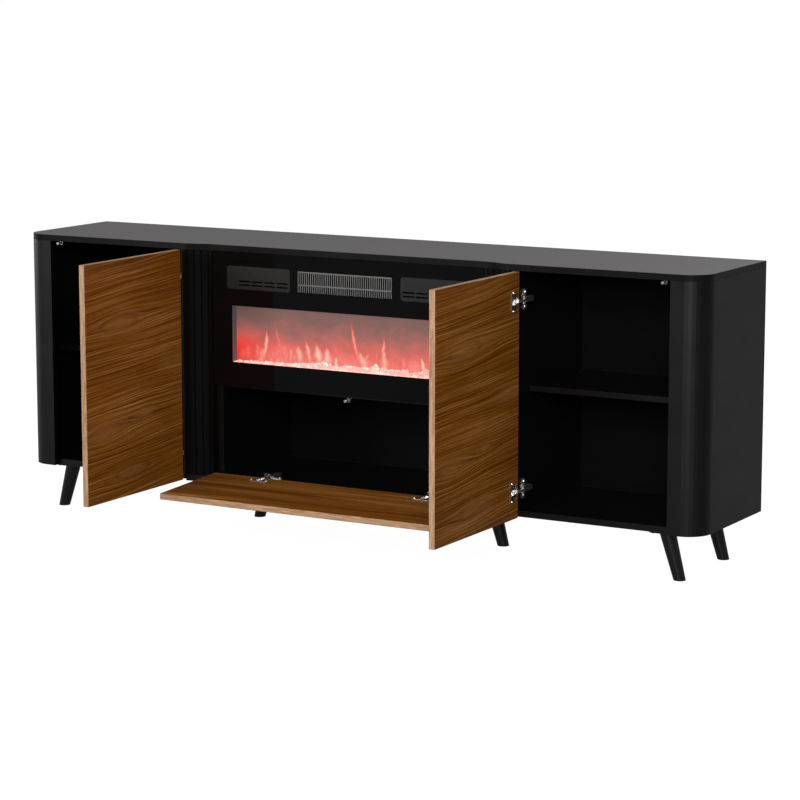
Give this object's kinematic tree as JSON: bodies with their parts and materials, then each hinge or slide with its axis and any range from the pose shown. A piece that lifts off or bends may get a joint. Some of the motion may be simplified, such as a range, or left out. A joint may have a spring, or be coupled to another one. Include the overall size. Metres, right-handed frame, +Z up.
{
  "type": "fireplace cabinet",
  "caption": "Low black media cabinet with walnut side doors, a drop flap and an electric fireplace behind black glass, on splayed legs.",
  "frame": {"origin": "on the floor, under the middle of the cabinet with its doors open", "axes": "+X to the cabinet's right as seen from the front, -Y out of the front, +Z up"},
  "size_m": [2, 0.8, 0.752],
  "materials": {
    "black_top": "fine textured black lacquer",
    "black_board": "satin black lacquer",
    "black_back": "matte black paint",
    "black_fluted": "satin black lacquer",
    "black_leg": "satin black lacquer",
    "walnut": "satin lacquer",
    "nickel": "satin",
    "magnet": "satin",
    "black_metal": "satin black",
    "black_glass": "dark gloss",
    "grey_plastic": "matte",
    "silver": "satin",
    "ceramic": "matte",
    "glow": "lit from behind",
    "crystal": "clear, lit from below"
  },
  "bodies": {
    "cabinet": {"bottom_board": "black_board", "left_side_panel": "black_board", "right_side_panel": "black_board", "left_partition": "black_board", "right_partition": "black_board", "left_inner_upright": "black_board", "right_inner_upright": "black_board", "left_shelf": "black_board", "right_shelf": "black_board", "fireplace_shelf": "black_board", "top_board": "black_top", "left_back_panel": "black_back", "centre_back_panel": "black_back", "right_back_panel": "black_back", "left_fluted_panel": "black_fluted", "right_fluted_panel": "black_fluted", "front_left_leg": "black_leg", "front_right_leg": "black_leg", "middle_left_leg": "black_leg", "middle_right_leg": "black_leg", "back_left_leg": "black_leg", "back_right_leg": "black_leg", "left_door_upper_hinge_arm": "nickel", "left_door_lower_hinge_arm": "nickel", "right_door_upper_hinge_arm": "nickel", "right_door_lower_hinge_arm": "nickel", "flap_left_hinge_arm": "nickel", "flap_right_hinge_arm": "nickel", "left_latch_body": "nickel", "right_latch_body": "nickel", "flap_latch_body": "nickel", "fireplace_casing": "black_metal", "fireplace_glass": "black_glass", "left_vent_plate": "grey_plastic", "right_vent_plate": "grey_plastic", "heater_grille": "silver", "heating_element": "ceramic", "flame_screen": "glow", "ember_bed": "crystal", "cable_gland": "grey_plastic"},
    "left_door_hinge_links": {"left_door_upper_hinge_link": "nickel", "left_door_lower_hinge_link": "nickel"},
    "left_door": {"left_door": "walnut", "left_door_upper_hinge_cup": "nickel", "left_door_lower_hinge_cup": "nickel"},
    "right_door_hinge_links": {"right_door_upper_hinge_link": "nickel", "right_door_lower_hinge_link": "nickel"},
    "right_door": {"right_door": "walnut", "right_door_upper_hinge_cup": "nickel", "right_door_lower_hinge_cup": "nickel"},
    "flap_hinge_links": {"flap_left_hinge_link": "nickel", "flap_right_hinge_link": "nickel"},
    "flap": {"flap": "walnut", "flap_left_hinge_cup": "nickel", "flap_right_hinge_cup": "nickel"},
    "left_latch_plunger": {"left_latch_plunger": "magnet"},
    "right_latch_plunger": {"right_latch_plunger": "magnet"},
    "flap_latch_plunger": {"flap_latch_plunger": "magnet"},
    "blower_wheel": {"blower_wheel": "grey_plastic"},
    "flame_spindle": {"flame_spindle": "silver"}
  },
  "joints": [
    {"name": "left_door_link_pivot", "type": "hinge", "parent": "cabinet", "child": "left_door_hinge_links", "pos_m": [-0.5162, 0.033, 0.425], "axis": [0, 0, -1], "range_deg": [-58.11, 0]},
    {"name": "left_door_pivot", "type": "hinge", "parent": "left_door_hinge_links", "child": "left_door", "pos_m": [-0.505, 0.015, 0.425], "axis": [0, 0, -1], "range_deg": [0, 148.1]},
    {"name": "right_door_link_pivot", "type": "hinge", "parent": "cabinet", "child": "right_door_hinge_links", "pos_m": [0.5162, 0.033, 0.425], "axis": [0, 0, 1], "range_deg": [-58.11, 0]},
    {"name": "right_door_pivot", "type": "hinge", "parent": "right_door_hinge_links", "child": "right_door", "pos_m": [0.505, 0.015, 0.425], "axis": [0, 0, 1], "range_deg": [0, 148.1]},
    {"name": "flap_link_pivot", "type": "hinge", "parent": "cabinet", "child": "flap_hinge_links", "pos_m": [0, 0.051, 0.1522], "axis": [-1, 0, 0], "range_deg": [-59.79, 0]},
    {"name": "flap_pivot", "type": "hinge", "parent": "flap_hinge_links", "child": "flap", "pos_m": [0, 0.03268, 0.14153], "axis": [-1, 0, 0], "range_deg": [0, 152.38]},
    {"name": "left_latch_slide", "type": "slide", "parent": "cabinet", "child": "left_latch_plunger", "axis": [0, 1, 0], "range_m": [0, 0.01451]},
    {"name": "right_latch_slide", "type": "slide", "parent": "cabinet", "child": "right_latch_plunger", "axis": [0, 1, 0], "range_m": [0, 0.01451]},
    {"name": "flap_latch_slide", "type": "slide", "parent": "cabinet", "child": "flap_latch_plunger", "axis": [0, 1, 0], "range_m": [0, 0.01451]},
    {"name": "blower_spin", "type": "hinge", "parent": "cabinet", "child": "blower_wheel", "pos_m": [0, 0.1288, 0.6685], "axis": [1, 0, 0], "continuous": true},
    {"name": "flame_spindle_spin", "type": "hinge", "parent": "cabinet", "child": "flame_spindle", "pos_m": [0, 0.0973, 0.473], "axis": [1, 0, 0], "continuous": true}
  ],
  "couplings": [
    {"joint": "left_door_link_pivot", "follows": "left_door_pivot", "ratio": -0.39234},
    {"joint": "right_door_link_pivot", "follows": "right_door_pivot", "ratio": -0.39234},
    {"joint": "flap_link_pivot", "follows": "flap_pivot", "ratio": -0.39234},
    {"joint": "left_latch_slide", "follows": "left_door_pivot", "m_per_rad": 0.00561},
    {"joint": "right_latch_slide", "follows": "right_door_pivot", "m_per_rad": 0.00561},
    {"joint": "flap_latch_slide", "follows": "flap_pivot", "m_per_rad": 0.005452}
  ]
}
